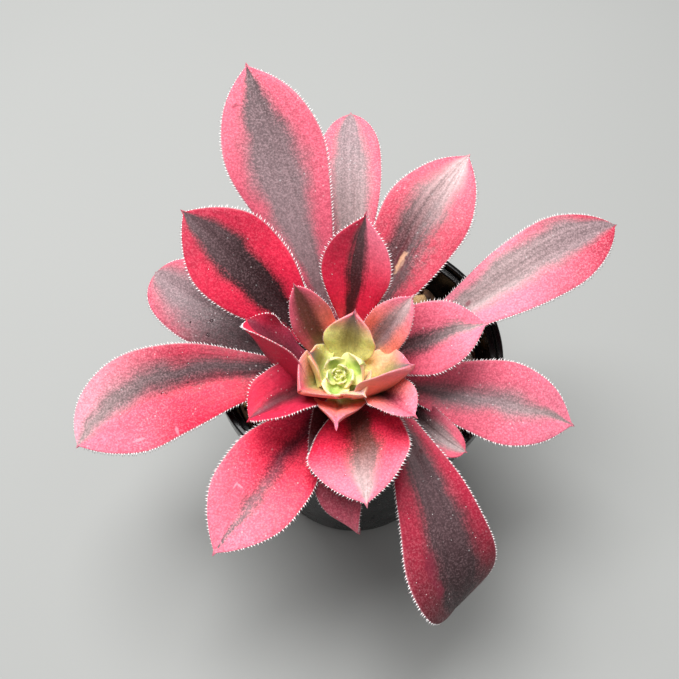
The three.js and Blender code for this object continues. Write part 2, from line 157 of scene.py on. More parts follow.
# Pot
POT_HEIGHT = 58
RIM_RADIUS = 32.5
BASE_RADIUS = 23
BASE_CHAMFER = 1
POT_WALL = 1.2
POT_FLOOR = 1.6
BAND_HEIGHT = 6.5
BAND_PROUD = 1.3
BAND_TAPER = 0.4
RIM_ROUND = 0.5
LIP_WIDTH = 1.4
LEDGE_DEPTH = 1.6
POT_SIDES = 160
DRAIN_HOLES = 6
DRAIN_RADIUS = 3
DRAIN_CIRCLE = 15
DRAIN_SIDES = 40

# Soil
GAP = 0.3
SOIL_LEVEL = 48.5
SOIL_MOUND = 2.5
SOIL_SLACK = 0.4
SOIL_RINGS = 64
SOIL_SIDES = 150
SOIL_WAVES = ((0.55, 0.25, 1, 0.4), (-0.4, 0.9, 2, 0.3), (1.1, -0.7, 4, 0.2))
CRUMB_HEIGHT = 0.8
CRUMB_SIZE = 2.2
SOIL_SEED = 5

# Stones in the soil, being crumbs of peat, bark, grit and pumice: how many, least and greatest
# half size, flatness, colours
STONES = (
    {"count": 380, "size": (0.5, 1.5), "flat": 0.8, "colours": ("4a3226", "2c1e18", "5c4030")},
    {"count": 110, "size": (1.0, 2.6), "flat": 0.35, "colours": ("8a4c2c", "6a3c26", "a8623a")},
    {"count": 300, "size": (0.6, 1.9), "flat": 0.75, "colours": ("e0aa6c", "f0c48c", "c08450")},
    {"count": 130, "size": (0.6, 1.7), "flat": 0.85, "colours": ("ece2d0", "d0c6b8", "f4ece0")},
)
STONE_ROUGH = 0.28
STONE_SUNK = 0.25
STONE_TILT = 0.4
STONE_MARGIN = 1.3
STONE_LIFT = 0.3
STONE_NARROWEST = 0.6

# Colours that the leaves are painted with
TONES = {
    "soot": "2c1418",
    "maroon": "501820",
    "wine": "802038",
    "crimson": "b82040",
    "scarlet": "e82048",
    "rose": "d85870",
    "pink": "ec7890",
    "blush": "f4a0b0",
    "salmon": "f08070",
    "peach": "f4b890",
    "cream": "f4f098",
    "lime": "dce488",
    "olive": "a89c60",
    "umber": "6c3830",
    "dusk": "584044",
    "mauve": "8c7478",
    "ash": "a89090",
    "shell": "ccacac",
}

# The open leaves, youngest first. Up to roll each entry is the leaf's form, as in the part's source.
# margin, stripe: colours at the stem, the middle and the tip, whose dark colours at the stem are partly the
# leaf's own deep red and partly painted shade deep in the rosette; left: margin colours on the left (1)
# as seen from the stem, if they differ; wide: half width of the stripe as a share of the blade's,
# stem to tip; middle: where the stripe's middle lies across the blade, left (1) to right (-1);
# soft: how gently the stripe fades; streaks: how strong its lengthwise lines are; hairs_and_sheen: how much
# pale velvet shows, partly its own pale hairs and partly painted sheen, more towards the tip; marks:
# (along, across, half length, half width, colour) of each scar; dew: (along, across, radius) of each
# droplet;
# dust: how many pale specks; below: colour of the underside; bare: share of the length, from the stem,
# whose margins bear no hairs
LEAVES = [
    dict(name="leaf_inner_1", seat=0, azimuth=160, reach=6.2, height=78.6, leave=(6, 12), arrive=(0, 50),
         width=8.2, widest=0.42, point=0.7, fold=18, roll=34, margin="cream cream salmon",
         stripe="lime olive mauve", wide=(0.35, 0.5, 0.62, 0.6), middle=(0, -0.1, -0.1, 0), streaks=0.15,
         hairs_and_sheen=0.02, dew=((0.6, -0.1, 0.3),), below="lime"),
    dict(name="leaf_inner_2", seat=1, azimuth=306, reach=7.3, height=77, leave=(0, 12), arrive=(0, 8),
         width=9, widest=0.5, point=0.75, fold=32, roll=-18, margin="cream peach peach",
         stripe="lime olive shell", wide=(0.4, 0.42, 0.45, 0.5), middle=(0, 0, -0.05, -0.1), soft=0.5,
         streaks=0.15, hairs_and_sheen=0.02, below="peach"),
    dict(name="leaf_inner_3", seat=2, azimuth=72, reach=8, height=84, leave=(0, 62), arrive=(0, 74),
         width=10.5, widest=0.5, point=1, fold=20, roll=0, margin="cream cream pink",
         stripe="cream olive mauve", wide=(0.25, 0.4, 0.44, 0.36), middle=(0, 0.02, 0, 0.1), streaks=0.15,
         hairs_and_sheen=0.03, below="salmon"),
    dict(name="leaf_inner_4", seat=3, azimuth=211, reach=8.8, height=76.5, leave=(-12, 5),
         arrive=(12, 38), width=15, widest=0.6, point=0.55, fold=42, roll=27, margin="cream peach pink",
         left="cream salmon salmon", stripe="lime olive rose", wide=(0.3, 0.36, 0.34, 0.25), soft=0.5,
         streaks=0.2, hairs_and_sheen=0.03, dust=6, below="salmon"),
    dict(name="leaf_inner_5", seat=4, azimuth=352, reach=13, height=81, leave=(-25, 13), arrive=(12, 36),
         width=14.5, widest=0.5, point=0.8, fold=38, roll=-36, margin="cream peach pink",
         stripe="lime olive mauve", wide=(0.15, 0.3, 0.46, 0.3), middle=(0, 0.05, 0.1, 0.05), soft=0.4,
         streaks=0.25, hairs_and_sheen=0.03, below="salmon"),
    dict(name="leaf_middle_1", seat=5, azimuth=128, reach=14, height=88, leave=(10, 45), arrive=(6, 50),
         width=8.6, widest=0.6, point=0.75, fold=20, roll=0, margin="peach salmon rose",
         left="olive rose rose", stripe="olive umber umber", wide=(0.5, 0.5, 0.46, 0.45),
         middle=(0, 0.05, 0.15, 0.1), soft=0.35, streaks=0.3, hairs_and_sheen=0.04),
    dict(name="leaf_inner_6", seat=6, azimuth=266, reach=12.5, height=77, leave=(-5, -8), arrive=(5, 15),
         width=10, widest=0.34, point=1.6, fold=20, roll=0, margin="cream salmon pink",
         stripe="cream salmon pink", wide=(0.3, 0.3, 0.2, 0.15), soft=0.6, streaks=0.25, hairs_and_sheen=0.05,
         below="salmon"),
    dict(name="leaf_middle_2", seat=7, azimuth=37, reach=16.6, height=86, leave=(-5, 38), arrive=(4, 40),
         width=9.2, widest=0.6, point=0.8, fold=20, roll=0, margin="cream salmon pink",
         stripe="olive mauve shell", wide=(0.4, 0.42, 0.42, 0.4), middle=(0, 0.05, -0.02, -0.1),
         soft=0.35, streaks=0.5, hairs_and_sheen=0.08),
    dict(name="leaf_middle_3", seat=8, azimuth=206, reach=19.5, height=72, leave=(0, 20), arrive=(0, -20),
         width=14.5, widest=0.6, point=0.66, fold=38, roll=36, margin="umber crimson scarlet",
         stripe="umber maroon wine", wide=(0.4, 0.34, 0.3, 0.2), soft=0.5, streaks=0.5, hairs_and_sheen=0.02,
         dust=8),
    dict(name="leaf_middle_4", seat=9, azimuth=323, reach=17, height=77, leave=(0, 20), arrive=(0, -5),
         width=10.4, widest=0.7, point=0.7, fold=35, roll=-35, margin="cream salmon pink",
         stripe="lime maroon rose", wide=(0.46, 0.5, 0.44, 0.25), soft=0.5, streaks=0.5, hairs_and_sheen=0.08,
         dust=6),
    dict(name="leaf_middle_5", seat=10, azimuth=78, reach=22, height=96, leave=(0, 55), arrive=(-8, 55),
         width=14.4, widest=0.68, point=1.2, fold=20, roll=0, margin="umber scarlet pink",
         left="salmon scarlet crimson", stripe="umber maroon dusk", wide=(0.2, 0.26, 0.26, 0.3),
         middle=(0.1, 0.2, 0.04, -0.02), soft=0.35, streaks=0.8, hairs_and_sheen=0.05),
    dict(name="leaf_middle_6", seat=12, azimuth=18, reach=30, height=78, leave=(0, 30), arrive=(0, -10),
         width=14.5, widest=0.6, point=1.05, fold=15, roll=0, margin="crimson rose pink",
         stripe="maroon dusk ash", wide=(0.3, 0.3, 0.22, 0.14), soft=0.4, streaks=0.5, dust=10),
    dict(name="leaf_middle_7", seat=13, azimuth=151, reach=21, height=78, leave=(60, 22),
         arrive=(-18, 12), width=17.5, widest=0.66, point=0.62, fold=34, roll=36,
         margin="umber wine crimson", left="umber crimson scarlet", stripe="umber maroon wine",
         wide=(0.5, 0.5, 0.44, 0.34), middle=(0, -0.05, -0.1, -0.1), soft=0.35, streaks=0.3, hairs_and_sheen=0.03,
         dust=8, below="crimson", bare=0.6),
    dict(name="leaf_middle_8", seat=14, azimuth=281, reach=24.5, height=68, leave=(0, 10),
         arrive=(0, -20), width=20.2, widest=0.6, point=1, fold=12, roll=0, margin="wine scarlet pink",
         stripe="maroon umber shell", wide=(0.35, 0.3, 0.3, 0.28), middle=(0, 0.05, 0.08, 0.08), dust=10,
         dew=((0.68, 0.45, 0.25), (0.77, -0.38, 0.22), (0.38, 0.1, 0.3))),
    dict(name="leaf_outer_1", seat=15, azimuth=60.5, reach=56, height=84, leave=(3, 30), arrive=(-8, 10),
         width=18.8, widest=0.66, point=0.95, fold=10, roll=0, margin="crimson crimson rose",
         stripe="maroon maroon shell", wide=(0.7, 0.52, 0.44, 0.5), middle=(0, 0.03, 0.09, 0.02),
         streaks=0.8, hairs_and_sheen=0.14, dust=8,
         marks=((0.45, 0.0, 0.045, 0.08, "peach"), (0.44, -0.06, 0.03, 0.06, "umber"))),
    dict(name="leaf_outer_2", seat=16, azimuth=187, reach=55.5, height=56, leave=(-6, 12),
         arrive=(35, -25), width=21, widest=0.7, point=0.8, fold=8, roll=0, margin="maroon crimson blush",
         left="maroon scarlet pink", stripe="soot dusk ash", wide=(0.4, 0.34, 0.26, 0.22),
         middle=(-0.2, -0.36, -0.3, -0.1), soft=0.5, streaks=0.6, hairs_and_sheen=0.16, dust=20,
         marks=((0.77, 0.73, 0.03, 0.03, "blush"), (0.6, 0.88, 0.008, 0.12, "blush")),
         dew=((0.62, 0, 0.4), (0.605, 0.04, 0.3), (0.52, -0.07, 0.28))),
    dict(name="leaf_outer_3", seat=17, azimuth=357, reach=49, height=57, leave=(-8, 8), arrive=(-6, -30),
         width=17.2, widest=0.66, point=1.05, fold=8, roll=0, margin="crimson rose pink",
         stripe="maroon mauve ash", wide=(0.5, 0.38, 0.28, 0.12), middle=(-0.05, -0.16, 0, 0.04),
         soft=0.5, streaks=0.5, hairs_and_sheen=0.16, dust=16, dew=((0.53, -0.2, 0.22),)),
    dict(name="leaf_outer_4", seat=18, azimuth=137, reach=43, height=88, leave=(0, 30), arrive=(6, 20),
         width=19.4, widest=0.68, point=1, fold=12, roll=0, margin="wine scarlet crimson",
         stripe="soot soot dusk", wide=(0.6, 0.5, 0.42, 0.42), middle=(0.1, 0.12, -0.02, -0.06), soft=0.2,
         streaks=0.25, hairs_and_sheen=0.08, dust=14, dew=((0.47, 0.23, 0.3),)),
    dict(name="leaf_outer_5", seat=19, azimuth=232, reach=39, height=60, leave=(0, 5), arrive=(0, -25),
         width=18.4, widest=0.62, point=0.95, fold=10, roll=0, margin="wine scarlet pink",
         stripe="maroon wine mauve", wide=(0.3, 0.2, 0.13, 0.05), middle=0.04, soft=0.55, hairs_and_sheen=0.14,
         dust=10, marks=((0.69, -0.36, 0.006, 0.1, "blush"), (0.7, -0.46, 0.02, 0.02, "blush"))),
    dict(name="leaf_outer_6", seat=20, azimuth=33.2, reach=73.5, height=71, leave=(-7, 15),
         arrive=(-5, 0), width=17, widest=0.72, point=0.8, fold=10, roll=0, margin="pink pink crimson",
         stripe="ash ash mauve", wide=(0.5, 0.5, 0.52, 0.5), middle=(0.1, 0.14, 0.27, 0.35), soft=0.25,
         streaks=0.6, hairs_and_sheen=0.2, dust=8, marks=((0.41, 0.15, 0.012, 0.12, "wine"),)),
    dict(name="leaf_outer_7", seat=21, azimuth=142, reach=53.5, height=63, leave=(4, 8), arrive=(-10, -8),
         width=18, widest=0.68, point=0.5, fold=8, roll=0, margin="soot maroon rose",
         stripe="soot dusk mauve", wide=(0.9, 0.8, 0.7, 0.6), soft=0.35, hairs_and_sheen=0.14, dust=14,
         dew=((0.61, 0.28, 0.4), (0.59, 0.65, 0.45), (0.69, 0.55, 0.25))),
    dict(name="leaf_outer_8", seat=22, azimuth=302.5, reach=43.5, height=42, leave=(6, 42),
         arrive=(-30, -65), width=20.5, widest=0.82, point=0.4, fold=8, roll=0,
         margin="rose crimson maroon", stripe="ash dusk soot", wide=(0.5, 0.52, 0.52, 0.52),
         middle=(0, 0.05, 0.08, 0.15), soft=0.25, streaks=0.5, hairs_and_sheen=0.09, dust=36,
         marks=((0.4, 0.33, 0.012, 0.09, "maroon"), (0.77, -0.46, 0.06, 0.14, "wine"),
         (0.86, -0.4, 0.035, 0.12, "wine"))),
    dict(name="leaf_outer_9", seat=23, azimuth=108, reach=64, height=98, leave=(0, 35), arrive=(0, 25),
         width=21.5, widest=0.72, point=1, fold=12, roll=0, margin="wine rose rose",
         stripe="maroon mauve dusk", wide=(0.5, 0.54, 0.58, 0.26), middle=(0.2, 0.18, 0.06, 0.03),
         soft=0.28, streaks=0.3, hairs_and_sheen=0.14, dust=8, marks=((0.885, 0.66, 0.008, 0.13, "wine"),)),
    dict(name="leaf_outer_11", seat=24, azimuth=277, reach=25.4, height=55, leave=(-38, 52),
         arrive=(40, -50), width=10, widest=0.6, point=0.75, fold=10, roll=0, margin="maroon maroon rose",
         stripe="maroon maroon rose", wide=(0.55, 0.5, 0.5, 0.4), soft=0.4, hairs_and_sheen=0.12, dust=10,
         below="maroon"),
    dict(name="leaf_outer_10", seat=25, azimuth=338, reach=27, height=60.5, leave=(0, 14),
         arrive=(0, -12), width=8, widest=0.65, point=0.45, fold=10, roll=0, margin="soot maroon rose",
         left="soot wine rose", stripe="soot soot ash", wide=(0.6, 0.6, 0.55, 0.3), streaks=0.8,
         hairs_and_sheen=0.06, dust=8),
    dict(name="leaf_outer_12", seat=28, azimuth=88, reach=66, height=80, leave=(0, 25), arrive=(0, 15),
         width=14.5, widest=0.78, point=0.6, fold=8, roll=0, margin="wine rose rose",
         stripe="umber ash mauve", wide=(0.55, 0.62, 0.64, 0.45), soft=0.25, hairs_and_sheen=0.2, dust=8),
]

# What a leaf has unless its entry says otherwise
PLAIN = {
    "middle": 0,
    "soft": 0.3,
    "streaks": 0.4,
    "hairs_and_sheen": 0.1,
    "dust": 5,
    "marks": (),
    "dew": (),
    "below": "wine",
    "bare": 0.1,
}

# How much light spreads inside the leaves of each age
GLOWS = {"inner": 0.5, "middle": 0.0, "outer": 0.0}

# Curves


def direction(azimuth, pitch):
    a, p = math.radians(azimuth), math.radians(pitch)
    return np.array((math.cos(a) * math.cos(p), math.sin(a) * math.cos(p), math.sin(p)))


def unit(v):
    return v / np.linalg.norm(v, axis=-1, keepdims=True)


def square_to(v, normal):
    """The part of v that is square to normal, at length 1."""
    return unit(v - np.sum(v * normal, axis=-1, keepdims=True) * normal)


def bezier(points, t):
    t = np.asarray(t, float)[..., None]
    level = [np.asarray(p, float) for p in points]
    while len(level) > 1:
        level = [(1 - t) * a + t * b for a, b in zip(level, level[1:])]
    return level[0]


def bezier_ahead(points, t):
    points = [np.asarray(p, float) for p in points]
    return unit(bezier([b - a for a, b in zip(points, points[1:])], t))


def smooth(low, high, x):
    t = np.clip((x - low) / (high - low), 0, 1)
    return t * t * (3 - 2 * t)


STEM = (STEM_ROOT, STEM_BEND, GROWING_POINT)
STEM_SAMPLES = np.linspace(0, 1, 201)
STEM_STEPS = np.linalg.norm(np.diff(bezier(STEM, STEM_SAMPLES), axis=0), axis=1)
STEM_DISTANCES = np.concatenate(((0,), np.cumsum(STEM_STEPS)))
STEM_LENGTH = STEM_DISTANCES[-1]


def stem_at(along):
    """Middle and direction of the stem at a share of its length."""
    t = np.interp(along * STEM_LENGTH, STEM_DISTANCES, STEM_SAMPLES)
    return bezier(STEM, t), bezier_ahead(STEM, t)


def stem_radius(along):
    return STEM_RADIUS + (STEM_TOP_RADIUS - STEM_RADIUS) * along**2


def seat_along(seat):
    return 1 - (FIRST_SEAT + SEAT_STEP * seat + SEAT_GROWTH * seat**2) / STEM_LENGTH


# Blades


class Blade:
    """The surface of one leaf: u runs from 0 at the stem to 1 at the tip, v from 1 on the left to -1."""

    def __init__(self, form, points, side, out, seed):
        self.form = form
        self.points = points
        self.side = side
        self.out = out
        self.phases = np.random.default_rng(seed).uniform(0, 2 * math.pi, 4)

    def half_width(self, u):
        widest, point, width = self.form["widest"], self.form["point"], self.form["width"]
        u = np.clip(u, 0, 1)
        rise = point * widest / (1 - widest)
        shape = (u / widest) ** rise * ((1 - u) / (1 - widest)) ** point
        foot = min(FOOT_WIDTH, width / 2) * (1 - u) ** FOOT_FADE
        wave = 1 + OUTLINE_WAVE * np.sin(2 * math.pi * OUTLINE_WAVES * u + self.phases[0])
        return np.maximum(width * shape * wave + foot, TIP_WIDTH) / 2

    def axes(self, u):
        """Middle of the blade at u, and its directions ahead, to the left and up."""
        ahead = bezier_ahead(self.points, u)
        side = square_to(self.side, ahead)
        turned = (math.radians(self.form["roll"]) * (1 - (1 - u) ** 2))[..., None]
        side = side * np.cos(turned) + np.cross(ahead, side) * np.sin(turned)
        return bezier(self.points, u), ahead, side, np.cross(ahead, side)

    def at(self, u, v, face):
        """Points at u and v: face is 1 on the upper side, -1 on the underside and 0 between them."""
        middle, _, side, up = self.axes(u)
        half = self.half_width(u)
        fold = math.radians(self.form["fold"])
        thick_root = min(BLADE_THICK, self.form["width"] * THICK_SHARE)
        full = thick_root * (1 - TIP_THINNING * u * u)
        edge = self.form.get("edge", BLADE_EDGE)
        thick = edge + (full - edge) * (1 - v * v)
        rounding = np.sqrt(np.maximum(1 - np.abs(v) ** EDGE_ROUNDING, 0))
        lift = half * math.sin(fold) * (np.hypot(v, MIDRIB_ROUND) - MIDRIB_ROUND)
        lift = lift - thick / 2 + face * rounding * thick / 2
        fade = np.sin(math.pi * np.clip(u, 0, 1)) ** 0.5
        groove = self.form.get("groove", GROOVE_DEPTH) * fade * np.exp(-((v / GROOVE_WIDTH) ** 2))
        pillow = PILLOW * half * fade * np.sin(math.pi * np.abs(v))
        turns = 2 * math.pi * WAVES * u
        phase = np.where(v > 0, self.phases[1], self.phases[2])
        wave = WAVE_HEIGHT * half * fade * v * v * np.sin(turns + phase)
        lift = lift - groove + pillow + wave
        return middle + side * (half * v * math.cos(fold))[..., None] + up * lift[..., None]

    def normal(self, u, v):
        """Way up from the upper side at u and v."""
        step = NORMAL_STEP
        along = self.at(np.minimum(u + step, 1), v, 1) - self.at(u - step, v, 1)
        across = self.at(u, v + step, 1) - self.at(u, v - step, 1)
        return unit(np.cross(along, across))


def open_blade(leaf):
    """The blade of a leaf that grows from its seat on the stem to the tip that its entry gives."""
    along = seat_along(leaf["seat"])
    centre, axis = stem_at(along)
    tip = np.array(GROWING_POINT) + leaf["reach"] * direction(leaf["azimuth"], 0)
    tip[2] = leaf["height"]
    leaving, arriving = (
        direction(leaf["azimuth"] + turn, pitch) for turn, pitch in (leaf["leave"], leaf["arrive"])
    )
    out = square_to(leaving, axis)
    start = centre + out * (stem_radius(along) + FOOT_CLEAR)
    handle = np.linalg.norm(tip - start) / 3
    points = (start, start + leaving * handle, tip - arriving * handle, tip)
    return Blade(leaf, points, np.cross(axis, out), out, leaf["seat"])


def heart_blade(k):
    """The blade of the heart's leaf k, counted from the outermost."""
    top, axis = stem_at(1)
    base = top + axis * HEART_BASE_LIFT
    out = square_to(direction(HEART_AZIMUTH - HEART_TURN * k, 0), axis)
    size = HEART_SHRINK**k
    start = base + axis * (HEART_FOOT_RISE + HEART_FOOT_STEP * k) + out * HEART_FOOT
    rise = HEART_TOP + (HEART_RISE - HEART_TOP) * size
    tip = base + out * HEART_REACH * size + axis * rise
    handle = HEART_HANDLE * np.linalg.norm(tip - start)
    points = (
        start,
        start + (out + axis * HEART_LIFT) * handle,
        tip - (axis + out * HEART_CURL) * handle,
        tip,
    )
    form = {**HEART_FORM, "width": HEART_WIDTH * size}
    return Blade(form, points, np.cross(axis, out), out, HEART_SEED + k)


# Meshes


class Form:
    """Vertices, faces and point values of one piece, gathered part by part."""

    def __init__(self, *values):
        self.points = []
        self.faces = []
        self.kinds = []
        self.values = {name: [] for name in values}
        self.count = 0

    def add(self, points, faces, kind=0, **values):
        """Adds points and faces that count from 0, drawn with material number kind."""
        points = np.asarray(points, float).reshape(-1, 3)
        self.points.append(points)
        self.faces.extend(tuple(int(c) + self.count for c in face) for face in faces)
        self.kinds.extend([kind] * len(faces))
        for name, held in self.values.items():
            held.append(np.broadcast_to(values.get(name, 0), len(points)))
        self.count += len(points)

    def piece(self, name, *materials):
        """The finished object, smooth-shaded, in metres."""
        mesh = bpy.data.meshes.new(name)
        mesh.from_pydata((np.concatenate(self.points) * MM).tolist(), [], self.faces)
        mesh.polygons.foreach_set("material_index", self.kinds)
        mesh.polygons.foreach_set("use_smooth", [True] * len(self.faces))
        for held_name, held in self.values.items():
            attribute = mesh.attributes.new(held_name, "FLOAT", "POINT")
            attribute.data.foreach_set("value", np.concatenate(held).astype(float))
        for material in materials:
            mesh.materials.append(material)
        mesh.update()
        piece = bpy.data.objects.new(name, mesh)
        bpy.context.collection.objects.link(piece)
        return piece


def ring_faces(rings, sides):
    """Quads between rings of sides points each, facing out where the rings turn right-handed ahead."""
    faces = []
    for ring in range(rings - 1):
        for k in range(sides):
            a = ring * sides + k
            b = ring * sides + (k + 1) % sides
            faces.append((a, b, b + sides, a + sides))
    return faces


def closed_faces(rings, sides):
    """Faces between rings, and from the first and last ring to the two end points after them."""
    faces = ring_faces(rings, sides)
    last = (rings - 1) * sides
    end = rings * sides
    for k in range(sides):
        after = (k + 1) % sides
        faces.append((end, after, k))
        faces.append((end + 1, last + k, last + after))
    return faces


def turn_in(steps):
    """Angles of equal steps once round."""
    return np.linspace(0, 2 * math.pi, steps, endpoint=False)


def add_blade(form, blade, grid, **values):
    """Adds a closed blade: rings round it from a foot sunk in the stem to a small spike."""
    rows, columns = grid
    v_top = np.sin(np.linspace(-math.pi / 2, math.pi / 2, columns + 1))
    v = np.concatenate((v_top, v_top[-2:0:-1]))
    face = np.concatenate((np.ones(columns + 1), -np.ones(columns - 1)))
    u = 1 - (1 - np.linspace(0, 1, rows + 1)) ** ROW_CROWDING
    rings = blade.at(*np.broadcast_arrays(u[:, None], v[None, :], face[None, :]))
    middles, ahead, _, _ = blade.axes(u)
    foot = middles[0] + (rings[0] - middles[0]) * FOOT_SHRINK - blade.out * FOOT_SUNK
    tip = rings[-1].mean(axis=0)
    spike = SPIKE_LENGTH * min(1, blade.form["width"] / 10)
    spikes = [tip + (rings[-1] - tip) * size + ahead[-1] * spike * step for step, size in SPIKE_RINGS]
    points = np.concatenate(([foot], rings, spikes))
    sides = len(v)
    count = len(points)
    along = np.concatenate(((0,), u, np.ones(len(SPIKE_RINGS))))
    ends = np.array((foot.mean(axis=0), tip + ahead[-1] * spike))
    form.add(
        np.concatenate((points.reshape(-1, 3), ends)),
        [face[::-1] for face in closed_faces(count, sides)],
        across=np.concatenate((np.tile(v, count), (0, 0))),
        along=np.concatenate((np.repeat(along, sides), (0, 1))),
        under=np.concatenate((np.tile(face_under(v, face), count), (0, 0))),
        **values,
    )


def face_under(v, face):
    """1 on the underside, 0 above, and between them round the margin."""
    return np.clip(0.5 - face * (1 - np.abs(v) ** EDGE_ROUNDING), 0, 1)


def hair_size(form):
    """Share of the full size that a blade's hairs reach: little on the young leaves."""
    if "inner" in form["name"]:
        return HAIR_LEAST
    return min(1, form["width"] / HAIR_FULL)


def add_fringe(form, blade, random, kind):
    """Adds a row of short pale hairs along each margin, leaning towards the tip."""
    bare = blade.form["bare"]
    start, full = (bare + step for step in HAIR_GROWTH)
    fine = np.linspace(bare, MARGIN_END, MARGIN_SAMPLES)
    for v in (-1.0, 1.0):
        margin = blade.at(fine, np.full_like(fine, v), 0)
        distance = np.concatenate(((0,), np.cumsum(np.linalg.norm(np.diff(margin, axis=0), axis=1))))
        count = max(4, round(distance[-1] / HAIR_PITCH))
        jitter = random.uniform(-HAIR_JITTER, HAIR_JITTER, count)
        places = (np.arange(count) + jitter + 0.5) / count * distance[-1]
        u = np.interp(places, distance, fine)
        edge = np.full_like(u, v)
        roots = blade.at(u, edge, 0)
        outward = unit(blade.at(u, edge, 1) - blade.at(u, edge * 0.9, 1))
        _, ahead, _, up = blade.axes(u)
        stray = random.normal(0, HAIR_STRAY, (count, 2))
        aim = unit(outward + ahead * (HAIR_LEAN + stray[:, :1]) + up * stray[:, 1:])
        spread = random.uniform(1 - HAIR_SPREAD, 1 + HAIR_SPREAD / 2, count)
        size = hair_size(blade.form)
        length = HAIR_LENGTH * size * spread * smooth(start, full, u)
        first = square_to(ahead, aim)
        second = np.cross(aim, first)
        base = roots - aim * HAIR_SUNK
        corners = (first, second, -first, -second)
        points = [base + corner * HAIR_RADIUS * size for corner in corners]
        points.append(roots + aim * length[:, None])
        faces = []
        for n in range(count):
            a = 5 * n
            faces += [(a + k, a + (k + 1) % 4, a + 4) for k in range(4)]
            faces.append((a + 3, a + 2, a + 1, a))
        form.add(np.stack(points, axis=1), faces, kind, across=v, along=np.repeat(u, 5))


def add_dome(form, centre, up, radius, kind, **values):
    """Adds a low drop that stands on a surface."""
    first = square_to(np.array((0.3, 0.5, 0.8)), up)
    second = np.cross(up, first)
    turn = turn_in(DEW_SIDES)
    rings = []
    for ring in range(DEW_RINGS):
        angle = math.pi * 0.5 * ring / DEW_RINGS
        wide, high = radius * math.cos(angle), radius * DEW_HEIGHT * math.sin(angle)
        round_points = np.outer(np.cos(turn), first) + np.outer(np.sin(turn), second)
        rings.append(centre + round_points * wide + up * (high - radius * DROP_SUNK))
    points = np.concatenate((*rings, [centre + up * radius * DEW_HEIGHT]))
    faces = ring_faces(DEW_RINGS, DEW_SIDES)
    last = (DEW_RINGS - 1) * DEW_SIDES
    top = DEW_RINGS * DEW_SIDES
    faces += [(last + k, last + (k + 1) % DEW_SIDES, top) for k in range(DEW_SIDES)]
    faces.append(tuple(reversed(range(DEW_SIDES))))
    form.add(points, faces, kind, **values)


# Materials


def colour(code):
    """Shader value of a colour that is written as on a screen."""
    parts = (int(code[k : k + 2], 16) / 255 for k in (0, 2, 4))
    return (*(part / 12.92 if part <= 0.04045 else ((part + 0.055) / 1.055) ** 2.4 for part in parts), 1)


def colours(*codes):
    return [colour(code) for code in codes]


def leaf_colour(name):
    return colour(TONES[name])


def leaf_colours(names):
    return [leaf_colour(name) for name in names.split()]


class Shader:
    """A material's node tree, with short calls for the nodes that it needs."""

    def __init__(self, name):
        self.material = bpy.data.materials.new(name)
        self.material.use_nodes = True
        self.tree = self.material.node_tree
        self.surface = self.tree.nodes["Principled BSDF"]

    def node(self, kind, inputs, **settings):
        node = self.tree.nodes.new(kind)
        for key, value in settings.items():
            setattr(node, key, value)
        for key, value in inputs.items():
            self.put(node.inputs[key], value)
        return node

    def put(self, socket, value):
        if isinstance(value, bpy.types.NodeSocket):
            self.tree.links.new(value, socket)
        else:
            socket.default_value = value

    def set(self, **inputs):
        """Sets inputs of the surface, with _ for each space in their names."""
        for key, value in inputs.items():
            self.put(self.surface.inputs[key.replace("_", " ")], value)

    def attribute(self, name, output="Fac"):
        return self.node("ShaderNodeAttribute", {}, attribute_name=name).outputs[output]

    def place(self):
        return self.node("ShaderNodeTexCoord", {}).outputs["Object"]

    def math(self, operation, a, b=0.0, c=0.0):
        return self.node("ShaderNodeMath", {0: a, 1: b, 2: c}, operation=operation).outputs[0]

    def plus(self, a, b):
        return self.math("ADD", a, b)

    def times(self, a, b):
        return self.math("MULTIPLY", a, b)

    def sway(self, noise_value, width, value):
        """The value, moved to and fro by a noise."""
        return self.math("MULTIPLY_ADD", self.math("SUBTRACT", noise_value, 0.5), width, value)

    def noise(self, vector, scale, detail=2.0, roughness=0.5):
        inputs = {"Vector": vector, "Scale": scale, "Detail": detail, "Roughness": roughness}
        return self.node("ShaderNodeTexNoise", inputs).outputs["Fac"]

    def cells(self, vector, scale, output="Distance"):
        return self.node("ShaderNodeTexVoronoi", {"Vector": vector, "Scale": scale}).outputs[output]

    def fade(self, value, low, high, start=0.0, end=1.0):
        inputs = {"Value": value, "From Min": low, "From Max": high, "To Min": start, "To Max": end}
        return self.node("ShaderNodeMapRange", inputs, interpolation_type="SMOOTHSTEP").outputs[0]

    def ramp(self, factor, stops):
        """A colour for each share of the way, equally spaced."""
        node = self.node("ShaderNodeValToRGB", {"Fac": factor})
        elements = node.color_ramp.elements
        node.color_ramp.interpolation = "EASE"
        for k in range(len(stops) - 2):
            elements.new((k + 1) / (len(stops) - 1))
        for k, stop in enumerate(stops):
            elements[k].position = k / (len(stops) - 1)
            elements[k].color = stop
        return node.outputs["Color"]

    def level(self, factor, numbers):
        """A number for each share of the way, from a single one or from equally spaced ones."""
        if isinstance(numbers, (int, float)):
            return float(numbers)
        grey = self.ramp(factor, [((number + 1) / 2,) * 3 + (1,) for number in numbers])
        return self.math("MULTIPLY_ADD", grey, 2.0, -1.0)

    def mix(self, factor, a, b, blend="MIX"):
        node = self.node("ShaderNodeMix", {}, data_type="RGBA", blend_type=blend)
        self.put(node.inputs[0], factor)
        self.put(node.inputs[6], a)
        self.put(node.inputs[7], b)
        return node.outputs[2]

    def grey(self, value):
        return self.node("ShaderNodeCombineColor", {"Red": value, "Green": value, "Blue": value}).outputs[0]

    def bump(self, height, distance, strength=1.0):
        inputs = {"Height": height, "Distance": distance, "Strength": strength}
        return self.node("ShaderNodeBump", inputs).outputs["Normal"]

    def vector(self, x, y, z):
        return self.node("ShaderNodeCombineXYZ", {"X": x, "Y": y, "Z": z}).outputs[0]


